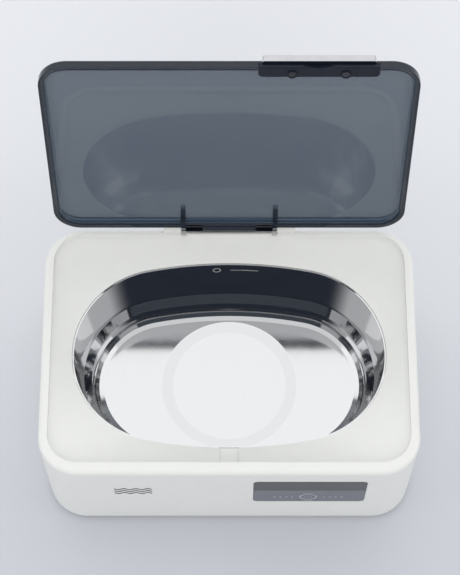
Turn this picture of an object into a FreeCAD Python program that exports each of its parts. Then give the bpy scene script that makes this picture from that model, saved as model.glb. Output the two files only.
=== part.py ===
import FreeCAD, Part
import math
import os

import Sketcher
from FreeCAD import Placement, Rotation, Vector

# A bench-top ultrasonic cleaner: a moulded housing round a pressed steel tank, with its drive
# electronics below the tank and a tinted lid that swings on two steel hinge pins at the rear.
# Frame: X to the right of the front panel, Y to the rear, Z up. The origin is the middle of the
# centre foot's underside. The lid's pieces are drawn closed and placed open.

doc = FreeCAD.newDocument("ultrasonic_cleaner")
sheet = doc.addObject("Spreadsheet::Sheet", "sizes")
cells = []


def cell(alias, value):
    """Puts a driving size into the sheet and returns the name that formulas use for it."""
    cells.append(alias)
    sheet.set(f"A{len(cells)}", alias)
    sheet.set(f"B{len(cells)}", str(value))
    sheet.setAlias(f"B{len(cells)}", alias)
    return f"sizes.{alias}"


DRIVING_SIZES = {
    # housing
    "body_length": 200, "body_depth": 139.4, "body_corner": 21, "body_base": 2, "body_top": 82,
    "wall": 2.6, "top_edge": 3, "foot_edge": 0.8,
    # recess that the lid drops into, the slope from it down to the tank, and the notch in its front
    "recess_length": 190.4, "recess_depth": 130, "recess_corner": 16, "recess_shift": 1.6,
    "recess_floor": 79.4, "slab_under": 75.9, "deck_edge": 74, "deck_under": 70.9, "deck_rim": 3,
    "spout_width": 10.6, "spout_high": 75.6, "spout_low": 73.1,
    # tank: half sizes of the four-arc oval of its mouth, and the heights of its steps
    "mouth_length": 83.4, "mouth_width": 52, "mouth_round": 48.6, "deck_gap": 0.9, "skin": 0.7,
    "tank_lip": 73.3, "flange_top": 69.9, "flange_width": 5.5, "ledge_top": 40, "ledge_bottom": 35.2,
    "tank_floor": 24, "upper_draft": 3.2, "ledge_width": 4, "lower_draft": 0.9, "floor_round": 5,
    "emboss_foot": 38, "emboss_flat": 31.5, "emboss_drop": 0.45,
    # posts and screws of the housing
    "post_x": 88, "post_y": 57, "post_radius": 4, "post_base": 6.3, "post_top": 76.5,
    "screw_core": 1.2, "clamp_boss": 2.6, "clamp_core": 1.1, "clamp_boss_top": 74.4,
    # hinge
    "hinge_y": 70.4, "hinge_z": 85, "hinge_round": 3.2, "pin_radius": 1.25, "pin_play": 0.05,
    "pin_inner": 13, "pin_outer": 35, "knuckle_inner": 26.4, "knuckle_outer": 35.8,
    "rib_inner": 23.7, "rib_outer": 26, "barrel_half": 14.4, "rib_slot": 3.2, "rib_slot_floor": 79.6,
    # lid
    "lid_open": 102.5, "lid_length": 188, "lid_depth": 129, "lid_corner": 14.5, "lid_under": 80.2,
    "lid_plate_under": 82.8, "lid_top": 85.2, "lid_lip": 2.6, "lid_cove": 2.2, "lid_edge": 2,
    "stop_gap": 0.35, "stop_thick": 2.2, "stop_reach": 8,
    # handle near the right of the lid's free edge
    "handle_x": 43.8, "grip_length": 59.6, "grip_depth": 7.2, "grip_under": 79.8, "trim_length": 55.6,
    "trim_front": -64.5, "trim_back": -55, "trim_top": 86.4, "trim_lip_under": 82.5,
    "trim_lip": 1.5, "handle_screw_y": -58, "handle_screw_apart": 26.1, "handle_boss": 2.6,
    # display window in the front wall
    "window_x": 42.9, "window_z": 49.8, "window_length": 60.2, "window_height": 36.5,
    "window_corner": 3, "window_thick": 1.8, "window_ledge": 3, "window_fit": 0.1,
    # mains inlet in the rear wall
    "inlet_x": -60, "inlet_z": 22, "inlet_length": 20, "inlet_height": 11, "inlet_corner": 5.4,
    "inlet_depth": 16, "inlet_flange": 2.4, "inlet_flange_thick": 1.6, "inlet_wall": 1.8,
    "inlet_floor": 3, "inlet_pin_radius": 1.2, "inlet_pin_apart": 8.6, "inlet_pin_reach": 9,
    # base plate, feet and circuit board
    "base_fit": 0.3, "base_under": 2.8, "base_thick": 2.5, "foot_x": 80, "foot_y": 50,
    "foot_radius": 7, "foot_recess": 0.8, "board_x": -65, "board_y": 0, "board_length": 58,
    "board_width": 66, "board_under": 9.3, "board_thick": 1.6, "board_hole_inset": 4,
    "standoff_radius": 2.6, "board_screw": 0.9,
    # clamps, transducer and the frame of the display board
    "clamp_thick": 1.5, "plate_radius": 26, "plate_thick": 4, "piezo_radius": 25, "piezo_thick": 2.6,
    "frame_length": 66, "frame_height": 39, "frame_depth": 5.1, "trim_boss": 2.2,
}
for alias, value in DRIVING_SIZES.items():
    cell(alias, value)
doc.recompute()


def size(alias):
    """The number in a cell, for the few shapes that are worked out here in full."""
    return float(getattr(sheet, alias))


# ---------------------------------------------------------------- simple solids


def place(item, x, y, z):
    for axis, formula in zip("xyz", (x, y, z)):
        item.setExpression(f".Placement.Base.{axis}", str(formula))
    return item


def name(item, label):
    """Gives a finished sub-part the label that names its file."""
    item.Label = label
    return item


def block(length, width, height, x, y, z):
    """A box whose plan is centred on x, y and whose underside is at z."""
    item = doc.addObject("Part::Box", "block")
    for side, formula in (("Length", length), ("Width", width), ("Height", height)):
        item.setExpression(side, str(formula))
    return place(item, f"{x} - ({length}) / 2", f"{y} - ({width}) / 2", z)


def rod(radius, length, x, y, z, axis=Vector(0, 0, 1)):
    """A cylinder that starts at x, y, z and runs along axis."""
    item = doc.addObject("Part::Cylinder", "rod")
    item.setExpression("Radius", str(radius))
    item.setExpression("Height", str(length))
    item.Placement = Placement(Vector(), Rotation(Vector(0, 0, 1), axis))
    return place(item, x, y, z)


def join(*items):
    fused = doc.addObject("Part::MultiFuse", "joined")
    fused.Shapes = list(items)
    return fused


def cut(base, *tools):
    taken = doc.addObject("Part::Cut", "cut")
    taken.Base = base
    taken.Tool = tools[0] if len(tools) == 1 else join(*tools)
    return taken


def group(label, items):
    """Like pieces kept in one sub-part as separate solids."""
    compound = doc.addObject("Part::Compound", label)
    compound.Links = list(items)
    return name(compound, label)


def soften(item, radius, wanted):
    """A Part::Fillet of the edges that the test picks."""
    doc.recompute()
    fillet = doc.addObject("Part::Fillet", "softened")
    fillet.Base = item
    fillet.Edges = [(i, radius, radius) for i, edge in enumerate(item.Shape.Edges, 1) if wanted(edge)]
    return fillet


UP = Vector(0, 0, 1)


def screw(head_radius, head, shank_radius, shank, x, y, z, direction=UP):
    """A pan-head screw: its head seats at x, y, z and its shank runs along direction."""
    return join(rod(head_radius, head, x, y, z, direction * -1), rod(shank_radius, shank, x, y, z, direction))


# ---------------------------------------------------------------- sketches and features


def new_body(label):
    body = doc.addObject("PartDesign::Body", label)
    body.Label = label
    return body


def open_sketch(body, role, height, shift_x="0", shift_y="0"):
    """An empty sketch on one of the body's origin planes, moved along and in that plane."""
    sketch = body.newObject("Sketcher::SketchObject", f"{body.Label}_sketch")
    plane = next(f for f in body.Origin.OriginFeatures if f.Role == role)
    sketch.AttachmentSupport = [(plane, "")]
    sketch.MapMode = "FlatFace"
    sketch.setExpression("AttachmentOffset.Base.x", shift_x)
    sketch.setExpression("AttachmentOffset.Base.y", shift_y)
    sketch.setExpression("AttachmentOffset.Base.z", height)
    return sketch


def measure(sketch, kind, where, guess, formula):
    """A dimension of a sketch that follows a formula of the sheet's cells."""
    index = sketch.addConstraint(Sketcher.Constraint(kind, *where, guess))
    sketch.setExpression(f"Constraints[{index}]", formula)


def rounded_rectangle(body, role, height, length, depth, corner, shift_x="0", shift_y="0"):
    """A rectangle with four equal round corners, centred on its sketch's origin."""
    sketch = open_sketch(body, role, height, shift_x, shift_y)
    a, b, r = 50.0, 30.0, 8.0
    sides = [((a - r, b), (r - a, b)), ((-a, b - r), (-a, r - b)),
             ((r - a, -b), (a - r, -b)), ((a, r - b), (a, b - r))]
    for start, end in sides:
        sketch.addGeometry(Part.LineSegment(Vector(*start, 0), Vector(*end, 0)))
    for turn, (x, y) in enumerate([(r - a, b - r), (r - a, r - b), (a - r, r - b), (a - r, b - r)], 1):
        start = math.radians(90 * turn)
        circle = Part.Circle(Vector(x, y, 0), Vector(0, 0, 1), r)
        sketch.addGeometry(Part.ArcOfCircle(circle, start, start + math.pi / 2))
    for side in range(4):
        sketch.addConstraint(Sketcher.Constraint("Tangent", side, 2, 4 + side, 1))
        sketch.addConstraint(Sketcher.Constraint("Tangent", 4 + side, 2, (side + 1) % 4, 1))
        sketch.addConstraint(Sketcher.Constraint("Vertical" if side % 2 else "Horizontal", side))
    for arc in (5, 6, 7):
        sketch.addConstraint(Sketcher.Constraint("Equal", 4, arc))
    sketch.addConstraint(Sketcher.Constraint("Symmetric", 4, 3, 6, 3, -1, 1))
    measure(sketch, "Radius", (4,), r, corner)
    measure(sketch, "DistanceX", (4, 3, 6, 3), 2 * (a - r), f"{length} - 2 * ({corner})")
    measure(sketch, "DistanceY", (6, 3, 4, 3), 2 * (b - r), f"{depth} - 2 * ({corner})")
    return sketch


def tank_oval(body, height, inset):
    """The tank's plan at one height: an oval of four tangent arcs, moved in evenly by inset."""
    sketch = open_sketch(body, "XY_Plane", height)
    a, b, r = 84.0, 52.5, 49.0
    long_radius = ((a - r) ** 2 + b ** 2 - r ** 2) / (2 * (b - r))
    joint = math.atan2(long_radius - b, a - r)
    arcs = [(0, b - long_radius, long_radius, joint), (r - a, 0, r, math.pi - joint),
            (0, long_radius - b, long_radius, math.pi + joint), (a - r, 0, r, -joint)]
    for number, (x, y, radius, start) in enumerate(arcs):
        sweep = 2 * joint if number % 2 else math.pi - 2 * joint
        circle = Part.Circle(Vector(x, y, 0), Vector(0, 0, 1), radius)
        sketch.addGeometry(Part.ArcOfCircle(circle, start, start + sweep))
    for arc in range(4):
        sketch.addConstraint(Sketcher.Constraint("Tangent", arc, 2, (arc + 1) % 4, 1))
    sketch.addConstraint(Sketcher.Constraint("PointOnObject", 1, 3, -1))
    sketch.addConstraint(Sketcher.Constraint("Symmetric", 1, 3, 3, 3, -1, 1))
    sketch.addConstraint(Sketcher.Constraint("Equal", 1, 3))
    sketch.addConstraint(Sketcher.Constraint("Equal", 0, 2))
    length = f"(sizes.mouth_length - ({inset}))"
    width = f"(sizes.mouth_width - ({inset}))"
    end = f"(sizes.mouth_round - ({inset}))"
    across = "2 * (sizes.mouth_length - sizes.mouth_round)"
    measure(sketch, "Radius", (3,), r, end)
    measure(sketch, "DistanceX", (1, 3, 3, 3), 2 * (a - r), across)
    measure(sketch, "Radius", (0,), long_radius,
            f"(({length} - {end})^2 + {width}^2 - {end}^2) / (2 * ({width} - {end}))")
    return sketch


def circles(body, role, height, radius, centres, shift_x="0", shift_y="0"):
    """Equal circles; centres are pairs of formulas measured from the sketch's origin."""
    sketch = open_sketch(body, role, height, shift_x, shift_y)
    for number, (x, y) in enumerate(centres):
        guess = Vector(10.0 + 20 * number, 10.0, 0)
        sketch.addGeometry(Part.Circle(guess, Vector(0, 0, 1), 5.0))
        measure(sketch, "Radius", (number,), 5.0, radius)
        measure(sketch, "DistanceX", (-1, 1, number, 3), guess.x, x)
        measure(sketch, "DistanceY", (-1, 1, number, 3), guess.y, y)
    return sketch


def polygon(body, role, height, corners):
    """A closed outline of straight sides; corners are pairs of formulas."""
    sketch = open_sketch(body, role, height)
    count = len(corners)
    places = [Vector(20 * math.cos(2 * math.pi * i / count), 20 * math.sin(2 * math.pi * i / count), 0)
              for i in range(count)]
    for i in range(count):
        sketch.addGeometry(Part.LineSegment(places[i], places[(i + 1) % count]))
    for i, (x, y) in enumerate(corners):
        sketch.addConstraint(Sketcher.Constraint("Coincident", i, 2, (i + 1) % count, 1))
        measure(sketch, "DistanceX", (-1, 1, i, 1), places[i].x, x)
        measure(sketch, "DistanceY", (-1, 1, i, 1), places[i].y, y)
    return sketch


def extrude(body, kind, sketch, length, reverse=False, both_ways=False):
    """A Pad or a Pocket, checked to have added to or taken from the body."""
    before = body.Shape.Volume if body.Tip else 0.0
    feature = body.newObject(f"PartDesign::{kind}", f"{body.Label}_{kind.lower()}")
    feature.Profile = sketch
    feature.Reversed = reverse
    if both_ways:
        feature.SideType = "Symmetric"
    feature.setExpression("Length", length)
    doc.recompute()
    change = body.Shape.Volume - before
    assert change > 0 if kind == "Pad" else change < 0, f"{body.Label}: {kind} did nothing"
    return feature


def loft(body, kind, sketches):
    feature = body.newObject(f"PartDesign::{kind}", f"{body.Label}_{kind.lower()}")
    feature.Profile = sketches[0]
    feature.Sections = sketches[1:]
    feature.Ruled = True
    doc.recompute()
    return feature


def round_edges(body, radius, wanted):
    """Fillets the edges of the body's tip that the test picks."""
    tip = body.Tip
    names = [f"Edge{i}" for i, edge in enumerate(tip.Shape.Edges, 1) if wanted(edge)]
    feature = body.newObject("PartDesign::Fillet", f"{body.Label}_fillet")
    feature.Base = (tip, names)
    feature.setExpression("Radius", radius)
    doc.recompute()
    return feature


def mirror_in_x(body, features):
    """Repeats features on the other side of the middle plane."""
    plane = next(f for f in body.Origin.OriginFeatures if f.Role == "YZ_Plane")
    mirror = body.newObject("PartDesign::Mirrored", f"{body.Label}_mirror")
    mirror.Originals = features
    mirror.MirrorPlane = (plane, [""])
    body.Tip = mirror
    doc.recompute()
    return mirror


def level(height):
    """A test for edges that lie wholly at one height."""
    return lambda edge: abs(edge.BoundBox.ZMin - height) < 1e-3 and abs(edge.BoundBox.ZMax - height) < 1e-3


BOARD_TOP = "(sizes.board_under + sizes.board_thick)"
FOUR_POSTS = [(f"{sx} * sizes.post_x", f"{sy} * sizes.post_y") for sx in (-1, 1) for sy in (-1, 1)]
CENTRE = [("0", "0")]
CLAMP_PLACES = [(-45, 60.5), (45, 60.5), (-45, -60.5), (0, -62.3), (-93.6, 0), (93.6, 0)]


# ---------------------------------------------------------------- housing


def make_housing():
    """Moulded shell with the rim, the slope down to the tank, the panel opening and the knuckles."""
    body = new_body("housing")
    plan = rounded_rectangle(body, "XY_Plane", "sizes.body_base", "sizes.body_length",
                             "sizes.body_depth", "sizes.body_corner")
    extrude(body, "Pad", plan, "sizes.body_top - sizes.body_base")
    round_edges(body, "sizes.top_edge", level(size("body_top")))
    round_edges(body, "sizes.foot_edge", level(size("body_base")))
    inside = ("sizes.body_length - 2 * sizes.wall", "sizes.body_depth - 2 * sizes.wall",
              "sizes.body_corner - sizes.wall")
    hollow = rounded_rectangle(body, "XY_Plane", "sizes.body_base", *inside)
    extrude(body, "Pocket", hollow, "sizes.slab_under - sizes.body_base", reverse=True)

    under_rim = rounded_rectangle(body, "XY_Plane", "sizes.slab_under", *inside)
    under_mouth = tank_oval(body, "sizes.deck_under", "-sizes.deck_gap - sizes.deck_rim")
    loft(body, "AdditiveLoft", [under_rim, under_mouth])

    recess = ("sizes.recess_length", "sizes.recess_depth", "sizes.recess_corner", "0",
              "sizes.recess_shift")
    step = rounded_rectangle(body, "XY_Plane", "sizes.body_top", *recess)
    extrude(body, "Pocket", step, "sizes.body_top - sizes.recess_floor")
    mouth = tank_oval(body, "sizes.body_top", "-sizes.deck_gap")
    extrude(body, "Pocket", mouth, "sizes.body_top - sizes.deck_under + 1")
    slope_top = rounded_rectangle(body, "XY_Plane", "sizes.recess_floor", *recess)
    slope_end = tank_oval(body, "sizes.deck_edge", "-sizes.deck_gap")
    loft(body, "SubtractiveLoft", [slope_top, slope_end])

    front_of_recess = "(sizes.recess_shift - sizes.recess_depth / 2)"
    spout = polygon(body, "YZ_Plane", "0", [
        (front_of_recess, "sizes.spout_high"), ("-sizes.mouth_width", "sizes.spout_low"),
        ("-sizes.mouth_width", "sizes.body_top - 1"), (front_of_recess, "sizes.body_top - 1")])
    extrude(body, "Pocket", spout, "sizes.spout_width", both_ways=True)

    posts = circles(body, "XY_Plane", "sizes.post_base", "sizes.post_radius", FOUR_POSTS)
    extrude(body, "Pad", posts, "sizes.post_top - sizes.post_base")
    cores = circles(body, "XY_Plane", "sizes.post_base", "sizes.screw_core", FOUR_POSTS)
    extrude(body, "Pocket", cores, "12", reverse=True)
    places = [(f"{x}", f"{y}") for x, y in CLAMP_PLACES]
    boss_base = "sizes.flange_top - sizes.skin"
    bosses = circles(body, "XY_Plane", boss_base, "sizes.clamp_boss", places)
    extrude(body, "Pad", bosses, "sizes.clamp_boss_top - sizes.flange_top + sizes.skin")
    cores = circles(body, "XY_Plane", boss_base, "sizes.clamp_core", places)
    extrude(body, "Pocket", cores, "4", reverse=True)

    at_window = ("sizes.window_x", "sizes.window_z")
    seat = rounded_rectangle(body, "XZ_Plane", "sizes.body_depth / 2", "sizes.window_length",
                             "sizes.window_height", "sizes.window_corner", *at_window)
    extrude(body, "Pocket", seat, "sizes.window_thick")
    view = rounded_rectangle(body, "XZ_Plane", "sizes.body_depth / 2",
                             "sizes.window_length - 2 * sizes.window_ledge",
                             "sizes.window_height - 2 * sizes.window_ledge", "1.5", *at_window)
    extrude(body, "Pocket", view, "sizes.wall + 1")
    inlet = rounded_rectangle(body, "XZ_Plane", "-sizes.body_depth / 2", "sizes.inlet_length",
                              "sizes.inlet_height", "sizes.inlet_corner", "sizes.inlet_x", "sizes.inlet_z")
    extrude(body, "Pocket", inlet, "sizes.wall + 1", reverse=True)
    make_knuckles(body)
    return body


def make_knuckles(body):
    """Two knuckles on the rear rim, each a rounded block round a blind hole for its pin."""
    front = "sizes.hinge_y - sizes.hinge_round"
    back = "sizes.hinge_y + sizes.hinge_round"
    length = "sizes.knuckle_outer - sizes.knuckle_inner"
    pedestal = polygon(body, "YZ_Plane", "sizes.knuckle_inner", [
        (front, "sizes.hinge_z"), (back, "sizes.hinge_z"), (back, "sizes.hinge_z - 5"),
        ("sizes.body_depth / 2 - 0.5", "sizes.hinge_z - 11"), (front, "sizes.hinge_z - 11")])
    block = extrude(body, "Pad", pedestal, length)
    centre = [("sizes.hinge_y", "sizes.hinge_z")]
    barrel = circles(body, "YZ_Plane", "sizes.knuckle_inner", "sizes.hinge_round", centre)
    barrel = extrude(body, "Pad", barrel, length)
    bore = circles(body, "YZ_Plane", "sizes.knuckle_inner", "sizes.pin_radius", centre)
    bore = extrude(body, "Pocket", bore, "sizes.pin_outer - sizes.knuckle_inner", reverse=True)
    slot_x = "(sizes.rib_inner + sizes.rib_outer) / 2"
    slot = rounded_rectangle(body, "XY_Plane", "sizes.body_top + 1", "sizes.rib_slot", "8", "0.6",
                             slot_x, "sizes.hinge_y - 1.4")
    slot = extrude(body, "Pocket", slot, "sizes.body_top + 1 - sizes.rib_slot_floor")
    mirror_in_x(body, [block, barrel, bore, slot])



# ---------------------------------------------------------------- tank and what is fixed to it


def make_tank():
    """Pressed steel tank: a drawn oval cup with a stepped ledge, a round sunken disc and a flat flange."""
    body = new_body("tank")
    wall_end = "sizes.upper_draft + sizes.ledge_width + sizes.lower_draft"
    profile = [("sizes.tank_lip", "0"), ("sizes.ledge_top", "sizes.upper_draft"),
               ("sizes.ledge_bottom", "sizes.upper_draft + sizes.ledge_width")]
    for angle in (0, 30, 60, 90):
        down = 1 - math.sin(math.radians(angle))
        inward = 1 - math.cos(math.radians(angle))
        profile.append((f"sizes.tank_floor + sizes.floor_round * {down:.4f}",
                        f"{wall_end} + sizes.floor_round * {inward:.4f}"))
    drops = [0, 0.5, 0.5] + [math.sin(math.radians(angle)) for angle in (0, 30, 60, 90)]
    outer = [tank_oval(body, f"{z} - {drop:.4f} * sizes.skin", f"{inset} - sizes.skin")
             for (z, inset), drop in zip(profile, drops)]
    loft(body, "AdditiveLoft", outer)
    flange = tank_oval(body, "sizes.flange_top - sizes.skin", "-sizes.flange_width")
    extrude(body, "Pad", flange, "sizes.skin")
    inner = [tank_oval(body, z, inset) for z, inset in profile]
    loft(body, "SubtractiveLoft", inner)
    under = "sizes.tank_floor - sizes.skin"
    below = [circles(body, "XY_Plane", f"{under} + 0.1", "sizes.emboss_foot", CENTRE),
             circles(body, "XY_Plane", f"{under} - sizes.emboss_drop", "sizes.emboss_flat", CENTRE)]
    loft(body, "AdditiveLoft", below)
    above = [circles(body, "XY_Plane", "sizes.tank_floor", "sizes.emboss_foot", CENTRE),
             circles(body, "XY_Plane", "sizes.tank_floor - sizes.emboss_drop", "sizes.emboss_flat", CENTRE)]
    loft(body, "SubtractiveLoft", above)
    return body


def make_tank_seal():
    """Rubber ring squeezed between the tank's flange and the underside of the deck."""
    body = new_body("tank_seal")
    ring = tank_oval(body, "sizes.flange_top", "-sizes.deck_gap - sizes.deck_rim + 0.3")
    extrude(body, "Pad", ring, "sizes.deck_under - sizes.flange_top")
    hole = tank_oval(body, "sizes.deck_under", "-sizes.deck_gap - 0.3")
    extrude(body, "Pocket", hole, "sizes.deck_under - sizes.flange_top")
    return body


def make_clamps():
    """Six steel plates that hold the flange up against the deck, and the screw through each."""
    plate_top = "sizes.flange_top - sizes.skin"
    plates, screws = [], []
    for x, y in CLAMP_PLACES:
        reach = Vector(x / size("mouth_length"), y / size("mouth_width"), 0).normalize() * -2.2
        across = abs(x) > 60
        length, width = ("9.5", "8") if across else ("8", "9.5")
        slab = block(length, width, "sizes.clamp_thick", x + (reach.x if across else 0),
                     y + (0 if across else reach.y), f"{plate_top} - sizes.clamp_thick")
        hole = rod("sizes.clamp_core", "sizes.clamp_thick", x, y, f"{plate_top} - sizes.clamp_thick")
        plates.append(cut(slab, hole))
        screws.append(screw("2.3", "1.7", "sizes.clamp_core", "sizes.clamp_thick + 3.6", x, y,
                            f"{plate_top} - sizes.clamp_thick"))
    return [group("tank_clamps", plates), group("clamp_screws", screws)]


def make_transducer():
    """Aluminium plate glued under the sunken disc, the piezo disc on it and the disc's two tabs."""
    top = "sizes.tank_floor - sizes.skin - sizes.emboss_drop"
    plate = rod("sizes.plate_radius", "sizes.plate_thick", "0", "0", f"{top} - sizes.plate_thick")
    disc_under = f"{top} - sizes.plate_thick - sizes.piezo_thick"
    disc = rod("sizes.piezo_radius", "sizes.piezo_thick", "0", "0", disc_under)
    tabs = [block("7", "4", "0.4", x, "0", f"{disc_under} - 0.4") for x in (-17, -6)]
    return [name(plate, "transducer_plate"), name(disc, "piezo_disc"), group("electrode_tabs", tabs)]


# ---------------------------------------------------------------- base


def board_corners():
    """Where the board's four screws go, as formulas."""
    along = "(sizes.board_length / 2 - sizes.board_hole_inset)"
    across = "(sizes.board_width / 2 - sizes.board_hole_inset)"
    return [(f"sizes.board_x + {sx} * {along}", f"sizes.board_y + {sy} * {across}")
            for sx in (-1, 1) for sy in (-1, 1)]


def make_base_plate():
    """Moulded bottom cover with screw bosses, foot recesses, cooling slots and board standoffs."""
    body = new_body("base_plate")
    gap = "2 * (sizes.wall + sizes.base_fit)"
    plan = rounded_rectangle(body, "XY_Plane", "sizes.base_under", f"sizes.body_length - {gap}",
                             f"sizes.body_depth - {gap}", "sizes.body_corner - sizes.wall - sizes.base_fit")
    extrude(body, "Pad", plan, "sizes.base_thick")
    top = "sizes.base_under + sizes.base_thick"
    bosses = circles(body, "XY_Plane", top, "sizes.post_radius", FOUR_POSTS)
    extrude(body, "Pad", bosses, f"sizes.post_base - ({top})")
    standoffs = circles(body, "XY_Plane", top, "sizes.standoff_radius", board_corners())
    extrude(body, "Pad", standoffs, f"sizes.board_under - ({top})")
    cores = circles(body, "XY_Plane", "sizes.board_under", "sizes.board_screw", board_corners())
    extrude(body, "Pocket", cores, "3.4")
    holes = circles(body, "XY_Plane", "sizes.post_base", "sizes.screw_core + 0.4", FOUR_POSTS)
    extrude(body, "Pocket", holes, "sizes.post_base")
    heads = circles(body, "XY_Plane", "sizes.base_under", "3.2", FOUR_POSTS)
    extrude(body, "Pocket", heads, "2.1", reverse=True)
    feet = CENTRE + [(f"{sx} * sizes.foot_x", f"{sy} * sizes.foot_y") for sx in (-1, 1) for sy in (-1, 1)]
    recesses = circles(body, "XY_Plane", "sizes.base_under", "sizes.foot_radius + 0.2", feet)
    extrude(body, "Pocket", recesses, "sizes.foot_recess", reverse=True)
    for shift in (-23, -17, -11, 11, 17, 23):
        slot = rounded_rectangle(body, "XY_Plane", top, "26", "2.4", "1.1", "0", str(shift))
        extrude(body, "Pocket", slot, "sizes.base_thick")
    return body


def make_feet():
    """Four rubber feet near the corners, and one under the middle that stills the thin plate."""
    places = {"centre": ("0", "0")}
    for side, sx in (("left", -1), ("right", 1)):
        for end, sy in (("front", -1), ("rear", 1)):
            places[f"{end}_{side}"] = (f"{sx} * sizes.foot_x", f"{sy} * sizes.foot_y")
    feet = []
    for place, (x, y) in places.items():
        disc = rod("sizes.foot_radius", "sizes.base_under + sizes.foot_recess", x, y, "0")
        feet.append(name(soften(disc, 0.8, level(0)), f"foot_{place}"))
    return feet


def make_base_screws():
    seat = "sizes.base_under + 2.1"
    return group("base_screws", [screw("2.8", "1.8", "sizes.screw_core", "11.5", x, y, seat)
                                 for x, y in FOUR_POSTS])


# ---------------------------------------------------------------- electronics


def make_driver():
    """Ultrasonic driver board lying on its standoffs under the left half of the tank."""
    slab = block("sizes.board_length", "sizes.board_width", "sizes.board_thick",
                 "sizes.board_x", "sizes.board_y", "sizes.board_under")
    holes = [rod("sizes.board_screw + 0.2", "sizes.board_thick", x, y, "sizes.board_under")
             for x, y in board_corners()]
    screws = [screw("1.9", "1.4", "sizes.board_screw", "4.8", x, y, BOARD_TOP, UP * -1)
              for x, y in board_corners()]
    return [name(cut(slab, *holes), "driver_board"), group("board_screws", screws)]


def make_transformer():
    """Ferrite core with two windows, and the winding round its middle leg."""
    x, y = -86, 13
    core = cut(block("5.4", "16", "13", x, y, BOARD_TOP),
               *[block("5.4", "3.4", "7", x, y + side * 3.9, f"{BOARD_TOP} + 3") for side in (-1, 1)])
    winding = cut(block("12.6", "10.8", "6.6", x, y, f"{BOARD_TOP} + 3.2"),
                  block("5.6", "4.6", "6.6", x, y, f"{BOARD_TOP} + 3.2"))
    return [name(core, "transformer_core"), name(winding, "transformer_winding")]


def make_board_parts():
    """The driver board's other components."""
    x, y = -58, -21
    gaps = [block("2.4", "10", "7", x + step, y, f"{BOARD_TOP} + 3") for step in (-9.6, -4.8, 0, 4.8, 9.6)]
    sink = cut(block("26", "10", "10", x, y, BOARD_TOP), *gaps)
    switches = [block("10", "4.4", "9", x + side * 7, y - 7.2, BOARD_TOP) for side in (-1, 1)]
    films = [block("13", "6", "9.5", -69, place_y, BOARD_TOP) for place_y in (-9, 0)]
    ring = doc.addObject("Part::Torus", "ring")
    ring.setExpression("Radius1", "6.5")
    ring.setExpression("Radius2", "2.8")
    place(ring, "-53", "3", f"{BOARD_TOP} + 2.8")
    tube = rod("2.6", "20", -75, 26, f"{BOARD_TOP} + 3.6", Vector(1, 0, 0))
    clips = [cut(block("3", "6.6", "6.4", end, 26, BOARD_TOP),
                 rod("2.6", "20", -75, 26, f"{BOARD_TOP} + 3.6", Vector(1, 0, 0))) for end in (-72.5, -57.5)]
    capacitor = soften(rod("5", "16", -86, -10, BOARD_TOP), 0.8, lambda e: e.BoundBox.ZMin > 20)
    return [name(sink, "heat_sink"), group("power_transistors", switches), group("film_capacitors", films),
            name(ring, "output_inductor"), name(tube, "fuse"), group("fuse_clips", clips),
            name(capacitor, "bulk_capacitor"),
            name(block("7", "6", "7", -83.4, 27, BOARD_TOP), "mains_socket"),
            name(block("6", "8", "7", -39.6, 16, BOARD_TOP), "transducer_socket"),
            name(block("5", "12", "5", -39.6, -10, BOARD_TOP), "display_socket")]


def lead(points, radius, bend):
    """A round wire along straight runs joined by tangent arcs."""
    points = [Vector(*point) for point in points]
    edges = []
    start = points[0]
    for before, corner, after in zip(points, points[1:], points[2:]):
        back = (before - corner).normalize()
        ahead = (after - corner).normalize()
        half_turn = (math.pi - back.getAngle(ahead)) / 2
        reach = bend * math.tan(half_turn)
        middle = corner + (back + ahead).normalize() * (bend / math.cos(half_turn) - bend)
        edges.append(Part.LineSegment(start, corner + back * reach).toShape())
        edges.append(Part.Arc(corner + back * reach, middle, corner + ahead * reach).toShape())
        start = corner + ahead * reach
    edges.append(Part.LineSegment(start, points[-1]).toShape())
    path = Part.Wire(edges)
    section = Part.Wire(Part.Circle(points[0], points[1] - points[0], radius).toShape())
    wire = path.makePipeShell([section], True, False)
    expected = math.pi * radius ** 2 * path.Length
    assert abs(wire.Volume - expected) < 0.02 * expected, "a lead's volume is wrong"
    return wire


def make_leads():
    """Insulated wires between the inlet, the board, the transducer and the panel."""
    board_top = size("board_under") + size("board_thick")
    inlet_inner = size("body_depth") / 2 - size("inlet_depth")
    inlet_z = size("inlet_z")
    mains = [lead([(size("inlet_x") + side * 4.3, inlet_inner, inlet_z), (size("inlet_x") + side * 4.3, 44, inlet_z),
                   (-83.4 + side * 1.6, 39 - side * 3, board_top + 4), (-83.4 + side * 1.6, 30, board_top + 4)],
                  0.9, 4) for side in (-1, 1)]
    tab_under = (size("tank_floor") - size("skin") - size("emboss_drop") - size("plate_thick")
                 - size("piezo_thick") - 0.4)
    drive = [lead([(x, y, tab_under), (x, y, height), (turn, 12 + y, height), (-36.4, 16 + y * 2, height)],
                  0.8, 2) for x, y, height, turn in ((-17, 1, 13.6, -27), (-6, -1, 12.2, -20))]
    board_y = -size("body_depth") / 2 + size("wall") + size("frame_depth") + 1.5
    board_foot = size("window_z") - (size("frame_height") - 1) / 2
    panel = [lead([(30, board_y, board_foot), (30, board_y, 14), (-12, -48, 14), (-28, -10, 14),
                   (-37.1, -10, 14)], 1.4, 4.5)]
    leads = []
    for label, wires in (("mains_leads", mains), ("transducer_leads", drive), ("display_cable", panel)):
        item = doc.addObject("Part::Feature", label)
        item.Shape = Part.makeCompound(wires) if len(wires) > 1 else wires[0]
        leads.append(name(item, label))
    return leads


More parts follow.
